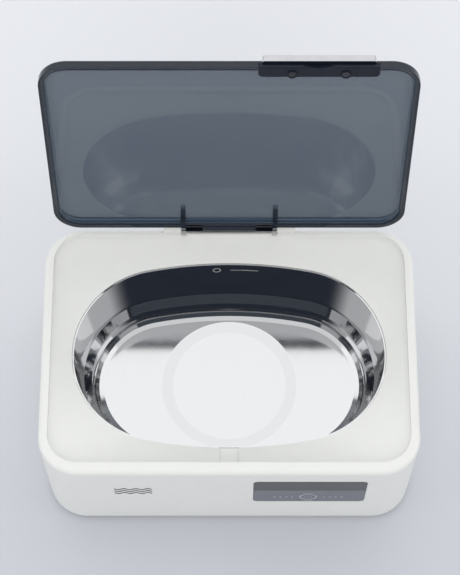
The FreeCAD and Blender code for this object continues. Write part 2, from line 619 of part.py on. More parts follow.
def make_inlet():
    """Two-pole appliance inlet: a flanged housing open to the rear, with two round pins."""
    body = new_body("power_inlet")
    wall = "-sizes.body_depth / 2"
    spot = ("sizes.inlet_x", "sizes.inlet_z")
    flange = rounded_rectangle(body, "XZ_Plane", wall, "sizes.inlet_length + 2 * sizes.inlet_flange",
                               "sizes.inlet_height + 2 * sizes.inlet_flange",
                               "sizes.inlet_corner + sizes.inlet_flange - 0.1", *spot)
    extrude(body, "Pad", flange, "sizes.inlet_flange_thick", reverse=True)
    barrel = rounded_rectangle(body, "XZ_Plane", wall, "sizes.inlet_length", "sizes.inlet_height",
                               "sizes.inlet_corner", *spot)
    extrude(body, "Pad", barrel, "sizes.inlet_depth")
    cavity = rounded_rectangle(body, "XZ_Plane", f"{wall} - sizes.inlet_flange_thick",
                               "sizes.inlet_length - 2 * sizes.inlet_wall",
                               "sizes.inlet_height - 2 * sizes.inlet_wall",
                               "sizes.inlet_corner - sizes.inlet_wall - 0.1", *spot)
    extrude(body, "Pocket", cavity, "sizes.inlet_flange_thick + sizes.inlet_depth - sizes.inlet_floor",
            reverse=True)
    floor = "sizes.body_depth / 2 - sizes.inlet_depth + sizes.inlet_floor"
    pins = [rod("sizes.inlet_pin_radius", "sizes.inlet_pin_reach",
                f"sizes.inlet_x + {side} * sizes.inlet_pin_apart / 2", floor, "sizes.inlet_z", Vector(0, 1, 0))
            for side in (-1, 1)]
    return [body, group("inlet_pins", pins)]


# ---------------------------------------------------------------- front panel


def make_panel():
    """Tinted window flush with the front wall, the frame behind it and its circuit board."""
    at_window = ("sizes.window_x", "sizes.window_z")
    front = "sizes.body_depth / 2"
    window = new_body("display_window")
    pane = rounded_rectangle(window, "XZ_Plane", front, "sizes.window_length - 2 * sizes.window_fit",
                             "sizes.window_height - 2 * sizes.window_fit",
                             "sizes.window_corner - sizes.window_fit", *at_window)
    extrude(window, "Pad", pane, "sizes.window_thick", reverse=True)

    frame = new_body("display_frame")
    inner_face = f"{front} - sizes.wall"
    outline = rounded_rectangle(frame, "XZ_Plane", inner_face, "sizes.frame_length", "sizes.frame_height",
                                "2", *at_window)
    extrude(frame, "Pad", outline, "sizes.frame_depth", reverse=True)
    opening = rounded_rectangle(frame, "XZ_Plane", inner_face, "sizes.window_length - 2 * sizes.window_ledge",
                                "sizes.window_height - 2 * sizes.window_ledge", "1.5", *at_window)
    extrude(frame, "Pocket", opening, "sizes.frame_depth")
    corners = [(f"{sx} * (sizes.frame_length / 2 - 2.4)", f"{sz} * (sizes.frame_height / 2 - 2.4)")
               for sx in (-1, 1) for sz in (-1, 1)]
    cores = circles(frame, "XZ_Plane", f"{inner_face} - sizes.frame_depth", "0.8", corners, *at_window)
    extrude(frame, "Pocket", cores, "4", reverse=True)

    board_front = f"-({inner_face} - sizes.frame_depth)"
    thick = "1.2"
    board = block("sizes.frame_length - 1", thick, "sizes.frame_height - 1", "sizes.window_x",
                  f"{board_front} + {thick} / 2", "sizes.window_z - (sizes.frame_height - 1) / 2")
    spots = [(f"sizes.window_x + {x}", f"sizes.window_z + {z}") for x, z in corners]
    inward = Vector(0, 1, 0)
    holes = [rod("0.9", thick, x, board_front, z, inward) for x, z in spots]
    screws = [screw("1.5", "1.1", "0.8", "4.6", x, f"{board_front} + {thick}", z, inward * -1)
              for x, z in spots]
    digits = block("24", "4.4", "10.4", "sizes.window_x", f"{board_front} - 2.2", "sizes.window_z + 2.6")
    leds = [block("1.6", "0.8", "0.8", f"sizes.window_x + {x}", f"{board_front} - 0.4", "sizes.window_z - 3")
            for x in (-18, -6, 6, 18)]
    springs = []
    for x in (-16, 0, 16):
        spot = (f"sizes.window_x + {x}", f"-({front}) + sizes.window_thick", "sizes.window_z - 10")
        length = "sizes.wall - sizes.window_thick + sizes.frame_depth"
        springs.append(cut(rod("2.8", length, *spot, inward), rod("2.3", length, *spot, inward)))
    return [window, frame, name(cut(board, *holes), "display_board"), group("display_screws", screws),
            name(digits, "digit_display"), group("status_leds", leds), group("touch_springs", springs)]


# ---------------------------------------------------------------- lid, hinge and handle


def make_hinge_pins():
    length = "sizes.pin_outer - sizes.pin_inner"
    return group("hinge_pins", [
        rod("sizes.pin_radius", length, "sizes.pin_inner", "sizes.hinge_y", "sizes.hinge_z", Vector(1, 0, 0)),
        rod("sizes.pin_radius", length, "-sizes.pin_outer", "sizes.hinge_y", "sizes.hinge_z", Vector(1, 0, 0))])


def make_lid():
    """Tinted tray lid with its rear tongue, two ribs, the hinge barrel and a stop behind it."""
    body = new_body("lid_shell")
    shift = ("0", "sizes.recess_shift")
    plan = rounded_rectangle(body, "XY_Plane", "sizes.lid_under", "sizes.lid_length", "sizes.lid_depth",
                             "sizes.lid_corner", *shift)
    extrude(body, "Pad", plan, "sizes.lid_top - sizes.lid_under")
    round_edges(body, "sizes.lid_edge", level(size("lid_top")))
    tray = rounded_rectangle(body, "XY_Plane", "sizes.lid_under", "sizes.lid_length - 2 * sizes.lid_lip",
                             "sizes.lid_depth - 2 * sizes.lid_lip", "sizes.lid_corner - sizes.lid_lip", *shift)
    lip_height = "sizes.lid_plate_under - sizes.lid_under"
    extrude(body, "Pocket", tray, lip_height, reverse=True)
    round_edges(body, "sizes.lid_cove", level(size("lid_plate_under")))

    rear = "(sizes.recess_shift + sizes.lid_depth / 2)"
    tongue = rounded_rectangle(body, "XY_Plane", "sizes.lid_plate_under", "2 * sizes.rib_outer",
                               f"sizes.hinge_y - {rear} + 6", "0.2", "0", f"(sizes.hinge_y + {rear} - 6) / 2")
    extrude(body, "Pad", tongue, "sizes.lid_top - sizes.lid_plate_under")
    gap = rounded_rectangle(body, "XY_Plane", "sizes.lid_under", "2 * sizes.rib_inner", "sizes.lid_lip + 1",
                            "0.2", "0", f"{rear} - sizes.lid_lip / 2 + 0.5")
    extrude(body, "Pocket", gap, lip_height, reverse=True)

    centre = [("sizes.hinge_y", "sizes.hinge_z")]
    barrel = circles(body, "YZ_Plane", "0", "sizes.hinge_round", centre)
    extrude(body, "Pad", barrel, "2 * sizes.rib_inner + 0.2", both_ways=True)
    lean = math.radians(size("lid_open"))
    near = size("stop_gap") + size("body_depth") / 2 - size("hinge_y")
    heel = []
    for y, z in ((near, 0), (near + size("stop_thick"), 0), (near + size("stop_thick"), -size("stop_reach")),
                 (near, -size("stop_reach"))):
        heel.append((f"sizes.hinge_y + {y * math.cos(lean) - z * math.sin(lean):.4f}",
                     f"sizes.hinge_z + {y * math.sin(lean) + z * math.cos(lean):.4f}"))
    extrude(body, "Pad", polygon(body, "YZ_Plane", "0", heel), "2 * sizes.barrel_half", both_ways=True)

    thick = "sizes.rib_outer - sizes.rib_inner"
    ear = extrude(body, "Pad", circles(body, "YZ_Plane", "sizes.rib_inner", "sizes.hinge_round", centre), thick)
    web = polygon(body, "YZ_Plane", "sizes.rib_inner", [
        ("sizes.hinge_y - 18", "sizes.lid_plate_under + 0.2"), ("sizes.hinge_y - 4.4", "sizes.lid_plate_under - 3"),
        ("sizes.hinge_y", "sizes.hinge_z - sizes.hinge_round + 0.1"), ("sizes.hinge_y", "sizes.lid_top - 0.2")])
    web = extrude(body, "Pad", web, thick)
    middle = "(sizes.barrel_half + sizes.rib_inner) / 2"
    hole = rounded_rectangle(body, "XY_Plane", "sizes.hinge_z + sizes.pin_radius + 0.6",
                             "sizes.rib_inner - sizes.barrel_half", "6.6", "0.4", middle, "sizes.hinge_y - 1.3")
    hole = extrude(body, "Pocket", hole, "12")
    mirror_in_x(body, [ear, web, hole])
    bore = circles(body, "YZ_Plane", "0", "sizes.pin_radius + sizes.pin_play", centre)
    extrude(body, "Pocket", bore, "2 * sizes.rib_outer + 1", both_ways=True)

    seat = rounded_rectangle(body, "XY_Plane", "sizes.lid_under", "sizes.grip_length + 0.4", "2 * sizes.grip_depth + 0.3",
                             "0.2", "sizes.handle_x", "sizes.recess_shift - sizes.lid_depth / 2")
    extrude(body, "Pocket", seat, lip_height, reverse=True)
    holes = circles(body, "XY_Plane", "sizes.lid_top", "sizes.trim_boss", handle_screws_from_centre(),
                    "sizes.handle_x", "sizes.handle_screw_y")
    extrude(body, "Pocket", holes, "6")
    return body


def handle_screws_from_centre():
    return [(f"{side} * sizes.handle_screw_apart / 2", "0") for side in (-1, 1)]


def make_handle():
    """Grip block inside the lid, bright trim outside it, and the two screws that clamp them."""
    spots = [f"sizes.handle_x + {side} * sizes.handle_screw_apart / 2" for side in (-1, 1)]
    y = "sizes.handle_screw_y"
    front = "(sizes.recess_shift - sizes.lid_depth / 2)"
    slab = block("sizes.grip_length", "sizes.grip_depth", "sizes.lid_plate_under - sizes.grip_under",
                 "sizes.handle_x", f"{front} + sizes.grip_depth / 2", "sizes.grip_under")
    slab = soften(slab, 2.5, lambda edge: edge.BoundBox.ZLength > 2 and edge.BoundBox.YMin > -60)
    slab = soften(slab, 0.6, lambda edge: edge.BoundBox.ZMax < size("grip_under") + 0.01)
    bosses = [rod("sizes.handle_boss", "sizes.lid_plate_under - sizes.grip_under + 0.5", x, y,
                  "sizes.grip_under - 0.5") for x in spots]
    under = "sizes.grip_under - 0.5"
    clear = [rod("1.1", "5", x, y, under) for x in spots]
    seats = [rod("1.9", "1.3", x, y, under) for x in spots]
    scoop = rod("30", "8", "sizes.handle_x", f"{front} - 29", "sizes.grip_under - 2")
    grip = cut(join(slab, *bosses), *clear, *seats, scoop)

    trim_depth = "(sizes.trim_back - sizes.trim_front)"
    plate = block("sizes.trim_length", trim_depth, "sizes.trim_top - sizes.lid_top", "sizes.handle_x",
                  f"sizes.trim_front + {trim_depth} / 2", "sizes.lid_top")
    lip = block("sizes.trim_length", "sizes.trim_lip", "sizes.trim_top - sizes.trim_lip_under",
                "sizes.handle_x", "sizes.trim_front + sizes.trim_lip / 2", "sizes.trim_lip_under")
    studs = [rod("sizes.trim_boss", "sizes.lid_top - sizes.lid_plate_under", x, y, "sizes.lid_plate_under")
             for x in spots]
    cores = [rod("0.9", "sizes.lid_top - sizes.lid_plate_under + 0.6", x, y, "sizes.lid_plate_under")
             for x in spots]
    shell = soften(join(plate, lip), 1.3, lambda edge: edge.BoundBox.ZLength > 2 and edge.BoundBox.YMax < -64)
    trim = cut(join(shell, *studs), *cores)
    screws = [screw("1.8", "1.1", "0.9", "4.9", x, y, "sizes.grip_under + 0.8") for x in spots]
    return [name(grip, "handle_grip"), name(trim, "handle_trim"), group("handle_screws", screws)]


# ---------------------------------------------------------------- the whole cleaner

base_pieces = [make_housing(), make_tank(), make_tank_seal(), *make_clamps(), *make_transducer(),
               make_base_plate(), *make_feet(), make_base_screws(), *make_driver(), *make_transformer(),
               *make_board_parts(), *make_leads(), *make_inlet(), *make_panel(), make_hinge_pins()]
lid_pieces = [make_lid(), *make_handle()]
hinge_line = Vector(0, size("hinge_y"), size("hinge_z"))
for piece in lid_pieces:
    piece.Placement = Placement(Vector(), Rotation(Vector(1, 0, 0), -size("lid_open")), hinge_line)
doc.recompute()

for item in doc.Objects:
    assert not {"Invalid", "Error"} & set(item.State), f"{item.Label} failed: {item.getStatusString()}"
os.makedirs("parts", exist_ok=True)
for piece in base_pieces + lid_pieces:
    assert not piece.Shape.isNull() and piece.Shape.isValid(), f"{piece.Label} has no valid shape"
for piece in base_pieces + lid_pieces:
    piece.Shape.exportStep(f"parts/{piece.Label}.step")
    box = piece.Shape.BoundBox
    print(f"{piece.Label}: {len(piece.Shape.Solids)} solid(s), {piece.Shape.Volume:.0f} mm3, "
          f"{box.XLength:.1f} x {box.YLength:.1f} x {box.ZLength:.1f}")
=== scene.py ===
import math

import bmesh
import bpy
from mathutils import Matrix, Vector


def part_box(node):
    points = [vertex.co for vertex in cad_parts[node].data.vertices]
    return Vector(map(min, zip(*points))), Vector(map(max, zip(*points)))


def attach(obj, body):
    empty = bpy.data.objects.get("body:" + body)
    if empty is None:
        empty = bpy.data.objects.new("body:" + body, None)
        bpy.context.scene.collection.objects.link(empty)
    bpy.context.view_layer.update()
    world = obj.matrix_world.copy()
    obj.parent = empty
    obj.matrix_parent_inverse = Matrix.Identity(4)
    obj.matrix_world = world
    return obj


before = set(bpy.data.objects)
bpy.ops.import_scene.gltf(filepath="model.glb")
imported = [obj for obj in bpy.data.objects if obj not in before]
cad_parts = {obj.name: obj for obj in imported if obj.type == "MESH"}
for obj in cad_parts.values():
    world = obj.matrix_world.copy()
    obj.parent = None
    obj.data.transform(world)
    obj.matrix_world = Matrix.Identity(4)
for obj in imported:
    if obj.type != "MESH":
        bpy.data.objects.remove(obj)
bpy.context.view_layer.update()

# Housing.
# One injection moulding in warm white ABS with a satin skin: rim, funnel deck, spout notch and the
# two hinge knuckles at the rear. The base plate screws into its four corner posts from below.


class Signal:
    """A socket in one material's nodes, on which sums can be written."""

    def __init__(self, tree, socket=None):
        self.tree = tree
        self.socket = socket

    def node(self, kind, settings=(), inputs=(), output=0):
        """Adds a node: first its settings, then the values or links of its sockets."""
        made = self.tree.nodes.new(kind)
        for key, value in dict(settings).items():
            setattr(made, key, value)
        for key, value in dict(inputs).items():
            if isinstance(value, Signal):
                self.tree.links.new(value.socket, made.inputs[key])
            else:
                made.inputs[key].default_value = value
        return Signal(self.tree, made.outputs[output])

    def math(self, operation, *values):
        return self.node("ShaderNodeMath", {"operation": operation}, dict(enumerate(values)))

    def __add__(self, other):
        return self.math("ADD", self, other)

    def __sub__(self, other):
        return self.math("SUBTRACT", self, other)

    def __rsub__(self, other):
        return self.math("SUBTRACT", other, self)

    def __mul__(self, other):
        return self.math("MULTIPLY", self, other)

    __radd__ = __add__
    __rmul__ = __mul__

    def step(self, low, high):
        """0 below low, 1 above high, and smooth between."""
        span = {"Value": self, "From Min": low, "From Max": high}
        return self.node("ShaderNodeMapRange", {"interpolation_type": "SMOOTHSTEP"}, span)

    def most(self, other):
        return self.math("MAXIMUM", self, other)

    def least(self, other):
        return self.math("MINIMUM", self, other)

    def size(self):
        return self.math("ABSOLUTE", self)

    def axis(self, letter):
        return self.node("ShaderNodeSeparateXYZ", (), {0: self}, output=letter)

    def stretched(self, x, y, z):
        return self.node("ShaderNodeMapping", (), {"Vector": self, "Scale": (x, y, z)})

    def noise(self, scale, detail=2.0, rough=0.5):
        look = {"Vector": self, "Scale": scale, "Detail": detail, "Roughness": rough}
        return self.node("ShaderNodeTexNoise", (), look)

    def blend(self, low, high):
        """Goes from the colour low to the colour high as this number goes from 0 to 1."""
        return self.node("ShaderNodeMix", {"data_type": "RGBA"}, {0: self, 6: low, 7: high}, output=2)

    def paint(self, low, high):
        return self.blend((*low, 1), (*high, 1))


class Finish:
    """A material with one Principled shader, its place on the object and its steady settings."""

    def __init__(self, name, **steady):
        self.material = bpy.data.materials.new(name)
        self.material.use_nodes = True
        self.tree = self.material.node_tree
        self.shader = self.tree.nodes["Principled BSDF"]
        for socket, value in steady.items():
            self.shader.inputs[socket.replace("_", " ")].default_value = value
        self.place = Signal(self.tree).node("ShaderNodeTexCoord", output="Object")

    def feed(self, socket, signal):
        self.tree.links.new(signal.socket, self.shader.inputs[socket])
        return self

    def bump(self, height, distance):
        """A height of 1 stands for distance, in metres."""
        skin = {"Height": height, "Distance": distance, "Strength": 1.0}
        return self.feed("Normal", height.node("ShaderNodeBump", (), skin))

    def grain(self, low, high, rough, spread, scale, depth):
        """Uneven colour between low and high, uneven gloss about rough, and a fine skin."""
        broad = self.place.noise(scale / 12, 3.0)
        fine = self.place.noise(scale, 4.0, 0.6)
        self.feed("Base Color", broad.step(0.3, 0.7).paint(low, high))
        self.feed("Roughness", fine.step(0.25, 0.75) * (2 * spread) + (rough - spread))
        return self.bump(fine, depth)


def dress(finish, *nodes):
    for name in nodes:
        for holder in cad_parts[name].material_slots:
            holder.material = finish.material


white_abs = Finish("white_abs", Specular_IOR_Level=0.45).grain(
    (0.806, 0.806, 0.774), (0.816, 0.816, 0.784), 0.42, 0.04, 1400, 0.00001
)
dress(white_abs, "housing")

# Tank.
# Pressed from one sheet of stainless steel 0.7 mm thick: polished walls with a stepped ledge half
# way down, and a flat satin floor with a shallow round recess over the transducer. The floor of the
# recess is dished a little, which is drawn here as a bump, and its bend is a little duller.
DISC_RADIUS = 0.0315
DISH_DEPTH = 0.0009
steel = Finish("pressed_steel", Metallic=1.0)
drawn = steel.place.stretched(1, 1, 12).noise(260, 3.0)
floor_mask = 1 - steel.place.axis("Z").step(0.0262, 0.0285)
milled = steel.place.stretched(40, 1.5, 1.5).noise(60, 3.0)
out_x = steel.place.axis("X")
out_y = steel.place.axis("Y")
out_squared = (out_x * out_x + out_y * out_y) * (1 / DISC_RADIUS**2)
dish = out_squared.least(1.0)
bend = out_squared.step(0.97, 1.05) * (1 - out_squared.step(1.38, 1.47)) * floor_mask
polish = milled.step(0.3, 0.7) * 0.2 + (1 - bend) * 0.8
steel.feed("Base Color", polish.paint((0.532, 0.532, 0.539), (0.572, 0.572, 0.577)))
steel.feed("Roughness", floor_mask * 0.03 + drawn * 0.03 + milled * 0.006 + 0.03)
steel.bump(dish * DISH_DEPTH + drawn * 0.0000004 + milled * 0.0000001, 1.0)
dress(steel, "tank")

# Fill mark.
# A pale level line etched on the rear wall of the tank below the lip, with a small ring beside it.
# It follows the wall, which leans in by 3 mm over the height of the upper step.
LEVEL_Z = 0.0675
ETCH_DEPTH = 0.00006
FRONT = Matrix.Rotation(math.pi / 2, 4, "X")


def flat_piece(name, shape, matrix, depth):
    """A thin piece from a flat outline in the XY plane: given its depth and moved into place."""
    bmesh.ops.recalc_face_normals(shape, faces=shape.faces[:])
    grown = bmesh.ops.extrude_face_region(shape, geom=shape.faces[:])["geom"]
    raised = [part for part in grown if isinstance(part, bmesh.types.BMVert)]
    bmesh.ops.translate(shape, vec=(0, 0, depth), verts=raised)
    bmesh.ops.transform(shape, matrix=matrix, verts=shape.verts[:])
    bmesh.ops.recalc_face_normals(shape, faces=shape.faces[:])
    mesh = bpy.data.meshes.new(name)
    shape.to_mesh(mesh)
    shape.free()
    piece = bpy.data.objects.new(name, mesh)
    bpy.context.scene.collection.objects.link(piece)
    return piece


def strip(shape, length, width, x=0.0, y=0.0, pieces=1):
    grid = bmesh.ops.create_grid(shape, x_segments=pieces, y_segments=1, size=0.5)["verts"]
    bmesh.ops.scale(shape, vec=(length, width, 1), verts=grid)
    bmesh.ops.translate(shape, vec=(x, y, 0), verts=grid)
    return grid


def ring(shape, inner, outer, x=0.0, y=0.0, sides=48):
    for radius in (inner, outer):
        rim = bmesh.ops.create_circle(shape, segments=sides, radius=radius)["verts"]
        bmesh.ops.translate(shape, vec=(x, y, 0), verts=rim)
    loose = [edge for edge in shape.edges if not edge.link_faces]
    bmesh.ops.bridge_loops(shape, edges=loose)


etched_steel = Finish("etched_steel", Metallic=0.6).grain(
    (0.50, 0.50, 0.50), (0.60, 0.60, 0.59), 0.6, 0.08, 2400, 0.000004
)
level_shape = bmesh.new()
strip(level_shape, 0.0152, 0.0006, 0.0083, 0, pieces=24)
ring(level_shape, 0.0016, 0.0023, -0.0068, 0)
level_place = Matrix.Translation((0, 0, LEVEL_Z)) @ FRONT
level_mark = flat_piece("level_mark", level_shape, level_place, ETCH_DEPTH)
for corner in level_mark.data.vertices:
    _, wall, *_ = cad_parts["tank"].ray_cast((corner.co.x, 0, corner.co.z), (0, 1, 0))
    corner.co.y += wall.y
level_mark.data.materials.append(etched_steel.material)
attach(level_mark, "base")

# Touch window.
# A flush panel of smoked acrylic. Its upper half covers the digits and is darker, and its lower half
# carries a thin print: a ring, rows of dots and small ticks at the three switches.
window_low, window_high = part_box("display_window")
DIGITS_FOOT = window_high.z - 0.0162
smoked_window = Finish("smoked_window", Coat_Weight=0.2, Coat_Roughness=0.03, Specular_IOR_Level=0.3)
lower_half = 1 - smoked_window.place.axis("Z").step(DIGITS_FOOT - 0.0004, DIGITS_FOOT + 0.0004)
smoked_window.feed("Base Color", lower_half.paint((0.020, 0.021, 0.027), (0.110, 0.118, 0.147)))
smoked_window.feed("Roughness", smoked_window.place.noise(900) * 0.05 + 0.10)
dress(smoked_window, "display_window")

white_ink = Finish("white_ink", Specular_IOR_Level=0.3).grain(
    (0.50, 0.51, 0.55), (0.58, 0.59, 0.62), 0.5, 0.05, 2000, 0.000003
)
ICON_X = 0.0425
ICON_Z = 0.0400
PRINT_INSET = 0.00001
PRINT_DEPTH = 0.00006


def dot(shape, radius, x, y):
    disc = bmesh.ops.create_circle(shape, segments=16, radius=radius, cap_ends=True)["verts"]
    bmesh.ops.translate(shape, vec=(x, y, 0), verts=disc)


print_shape = bmesh.new()
ring(print_shape, 0.0042, 0.0047)
for tick in (-0.0016, 0, 0.0016):
    strip(print_shape, 0.0003, 0.0016, tick, 0)
for side in (-1, 1):
    for place in range(4):
        dot(print_shape, 0.00045, side * (0.0085 + place * 0.0032), 0)
for row in (-0.0068, 0.0068):
    strip(print_shape, 0.0060, 0.0002, 0, row)
print_place = Matrix.Translation((ICON_X, window_low.y + PRINT_INSET, ICON_Z)) @ FRONT
touch_print = flat_piece("touch_print", print_shape, print_place, PRINT_DEPTH)
touch_print.data.materials.append(white_ink.material)
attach(touch_print, "base")

# Wave mark.
# Three short waves in grey ink, pad printed on the left of the front wall.
grey_ink = Finish("grey_ink", Specular_IOR_Level=0.3).grain(
    (0.045, 0.048, 0.055), (0.065, 0.068, 0.075), 0.5, 0.05, 2000, 0.000003
)
WAVE_X = -0.0512
WAVE_Z = 0.0510
WAVE_HEIGHT = 0.0011
WAVE_PITCH = 0.0063
WAVE_ROW = 0.0036
wave_shape = bmesh.new()
for row in (-1, 0, 1):
    for corner in strip(wave_shape, 0.0200, 0.0015, pieces=72):
        corner.co.y += WAVE_HEIGHT * math.sin(corner.co.x * math.tau / WAVE_PITCH) + row * WAVE_ROW
wave_place = Matrix.Translation((WAVE_X, window_low.y + PRINT_INSET, WAVE_Z)) @ FRONT
wave_mark = flat_piece("wave_mark", wave_shape, wave_place, PRINT_DEPTH)
wave_mark.data.materials.append(grey_ink.material)
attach(wave_mark, "base")

# Tank seal, clamps, screws and feet.
# A flat black rubber ring lies between the tank's flange and the deck, and six zinc-plated steel
# clamps with a screw each pull the flange up against it. The five feet are the same rubber.
black_rubber = Finish("black_rubber", Specular_IOR_Level=0.3).grain(
    (0.020, 0.020, 0.021), (0.032, 0.032, 0.033), 0.72, 0.08, 1600, 0.00002
)
dress(black_rubber, "tank_seal", "foot_centre")
dress(black_rubber, "foot_front_left", "foot_rear_left", "foot_front_right", "foot_rear_right")
zinc_steel = Finish("zinc_steel", Metallic=1.0).grain(
    (0.55, 0.56, 0.58), (0.66, 0.67, 0.68), 0.30, 0.08, 2400, 0.000004
)
dress(zinc_steel, "tank_clamps", "clamp_screws", "base_screws", "board_screws", "display_screws")

# Transducer.
# A turned aluminium plate glued under the tank floor, a ring of piezo ceramic glued to it, and two
# brass tabs soldered on the ceramic.
turned_aluminium = Finish("turned_aluminium", Metallic=1.0)
turning = turned_aluminium.place.node(
    "ShaderNodeTexWave",
    {"wave_type": "RINGS", "rings_direction": "Z"},
    {"Vector": turned_aluminium.place, "Scale": 900.0},
)
turned_aluminium.feed("Base Color", turning.paint((0.62, 0.63, 0.65), (0.74, 0.75, 0.76)))
turned_aluminium.feed("Roughness", turning * 0.12 + 0.26)
turned_aluminium.bump(turning, 0.00001)
dress(turned_aluminium, "transducer_plate", "heat_sink")
fired_ceramic = Finish("fired_ceramic").grain(
    (0.20, 0.18, 0.15), (0.30, 0.27, 0.23), 0.62, 0.08, 1800, 0.00001
)
dress(fired_ceramic, "piezo_disc")
sheet_brass = Finish("sheet_brass", Metallic=1.0).grain(
    (0.62, 0.46, 0.18), (0.74, 0.58, 0.27), 0.30, 0.07, 2000, 0.000005
)
dress(sheet_brass, "electrode_tabs", "fuse_clips", "inlet_pins")

# Drive board.
# A glass fibre board with green solder resist on four short posts. It carries the transformer, two
# transistors on a heat sink, the capacitors, an output coil, the fuse and three plug sockets.
solder_resist = Finish("solder_resist", Coat_Weight=0.3, Coat_Roughness=0.2)
tracks = solder_resist.place.node(
    "ShaderNodeTexBrick",
    {"offset": 0.37},
    {"Vector": solder_resist.place, "Scale": 190.0, "Mortar Size": 0.06},
    output=1,
)
solder_resist.feed("Base Color", tracks.paint((0.012, 0.085, 0.030), (0.030, 0.160, 0.060)))
solder_resist.feed("Roughness", solder_resist.place.noise(1500) * 0.15 + 0.25)
solder_resist.bump(tracks, 0.00003)
dress(solder_resist, "driver_board", "display_board")
ferrite = Finish("ferrite").grain(
    (0.045, 0.045, 0.050), (0.075, 0.075, 0.080), 0.62, 0.08, 1500, 0.00003
)
dress(ferrite, "transformer_core")
enamelled_wire = Finish("enamelled_wire", Metallic=0.6, Coat_Weight=0.5, Coat_Roughness=0.15)
turns = enamelled_wire.place.node(
    "ShaderNodeTexWave",
    {"wave_type": "BANDS", "bands_direction": "Z"},
    {"Vector": enamelled_wire.place, "Scale": 620.0},
)
enamelled_wire.feed("Base Color", turns.paint((0.20, 0.055, 0.015), (0.62, 0.24, 0.09)))
enamelled_wire.feed("Roughness", turns * 0.1 + 0.28)
enamelled_wire.bump(turns, 0.0002)
dress(enamelled_wire, "transformer_winding", "output_inductor")
black_epoxy = Finish("black_epoxy").grain(
    (0.014, 0.014, 0.015), (0.024, 0.024, 0.026), 0.38, 0.07, 2200, 0.00001
)
dress(black_epoxy, "power_transistors", "bulk_capacitor", "digit_display")
dipped_film = Finish("dipped_film", Coat_Weight=0.7, Coat_Roughness=0.08).grain(
    (0.36, 0.045, 0.015), (0.46, 0.075, 0.025), 0.22, 0.05, 900, 0.00003
)
dress(dipped_film, "film_capacitors")
fuse_glass = Finish("fuse_glass", Alpha=0.4, Specular_IOR_Level=0.6).grain(
    (0.78, 0.82, 0.82), (0.84, 0.87, 0.87), 0.06, 0.02, 700, 0.000002
)
dress(fuse_glass, "fuse")
cream_nylon = Finish("cream_nylon").grain(
    (0.66, 0.61, 0.47), (0.72, 0.67, 0.53), 0.45, 0.06, 1500, 0.00001
)
dress(cream_nylon, "mains_socket", "transducer_socket", "display_socket")
wire_jacket = Finish("wire_jacket").grain(
    (0.030, 0.030, 0.034), (0.045, 0.045, 0.050), 0.45, 0.06, 1500, 0.00001
)
dress(wire_jacket, "mains_leads", "transducer_leads", "display_cable")

# Power inlet.
# A two-pin appliance inlet in black nylon, pushed into the rear wall from outside, with its brass
# pins moulded in.
black_nylon = Finish("black_nylon").grain(
    (0.016, 0.016, 0.018), (0.027, 0.027, 0.030), 0.46, 0.07, 1700, 0.00002
)
dress(black_nylon, "power_inlet", "display_frame")

# Behind the touch window, and steel with painted shade.
# The display board screws to a black frame, and carries the digits, four lamps and three sprung
# contacts that feel the finger through the window. Hinge pins and handle screws are steel painted
# dark, a painted shade for the recesses they sit in.
lamp_lens = Finish("lamp_lens", Coat_Weight=0.4, Coat_Roughness=0.05).grain(
    (0.66, 0.69, 0.66), (0.74, 0.77, 0.74), 0.18, 0.04, 900, 0.000005
)
dress(lamp_lens, "status_leds")
bright_steel = Finish("bright_steel", Metallic=1.0).grain(
    (0.66, 0.66, 0.67), (0.76, 0.76, 0.77), 0.14, 0.04, 2200, 0.000002
)
dress(bright_steel, "touch_springs")
# Steel painted dark: painted shade of the recesses round the hinge pins and handle screws.
steel_painted_shade = Finish("steel_painted_shade", Metallic=1.0).grain(
    (0.06, 0.06, 0.07), (0.10, 0.10, 0.11), 0.20, 0.05, 2200, 0.000003
)
dress(steel_painted_shade, "hinge_pins", "handle_screws")

# Base plate.
# A vented tray in grey ABS that closes the housing from below and holds the rubber feet.
grey_abs = Finish("grey_abs").grain(
    (0.51, 0.52, 0.52), (0.53, 0.54, 0.54), 0.55, 0.06, 1300, 0.00003
)
dress(grey_abs, "base_plate")

# Lid.
# One moulding in smoked clear plastic, polished on both faces, with a lip all round, two thin arms
# that carry the hinge barrel, and a heel that stops it a little past upright. It turns on two pins.
HINGE = Vector((0, 0.0704, 0.085))
OPEN_ANGLE = math.radians(102.5)
LID_HALF_X = 0.094
LID_HALF_Y = 0.0645
LID_MIDDLE_Y = 0.0016
LID_CORNER = 0.0145
LIP = 0.0028
ARM_IN = 0.0235
ARM_OUT = 0.0262
smoked_plastic = Finish("smoked_plastic", Specular_IOR_Level=0.5)
shut = Matrix.Rotation(OPEN_ANGLE, 3, "X")
shut_place = smoked_plastic.place.node(
    "ShaderNodeMapping",
    (),
    {"Vector": smoked_plastic.place, "Location": HINGE - shut @ HINGE, "Rotation": (OPEN_ANGLE, 0, 0)},
)

# The masks are laid out on the closed lid, flat in the XY plane. The panel lets a third of the light
# through. The arms, the barrel and the two edges of the lip are nearly opaque.
across = shut_place.axis("X").size()
back = shut_place.axis("Y")
past_x = across - (LID_HALF_X - LID_CORNER)
past_y = (back - LID_MIDDLE_Y).size() - (LID_HALF_Y - LID_CORNER)
over_x = past_x.most(0.0)
over_y = past_y.most(0.0)
corner_part = over_x.math("SQRT", over_x * over_x + over_y * over_y)
flat_part = past_x.most(past_y).least(0.0)
from_edge = LID_CORNER - corner_part - flat_part
within_arms = 1 - across.step(ARM_OUT - 0.0002, ARM_OUT + 0.0002)
arm_mask = across.step(ARM_IN - 0.0002, ARM_IN + 0.0002) * within_arms * back.step(0.0520, 0.0530)
barrel_mask = within_arms * back.step(0.0640, 0.0655)
thick_mask = arm_mask.most(barrel_mask)
lip_only = 1 - from_edge.step(LIP - 0.0004, LIP + 0.0004)
between_lines = from_edge.step(0.0005, 0.0011) * (1 - from_edge.step(0.0018, 0.0024))
lip_mask = lip_only.most(thick_mask)
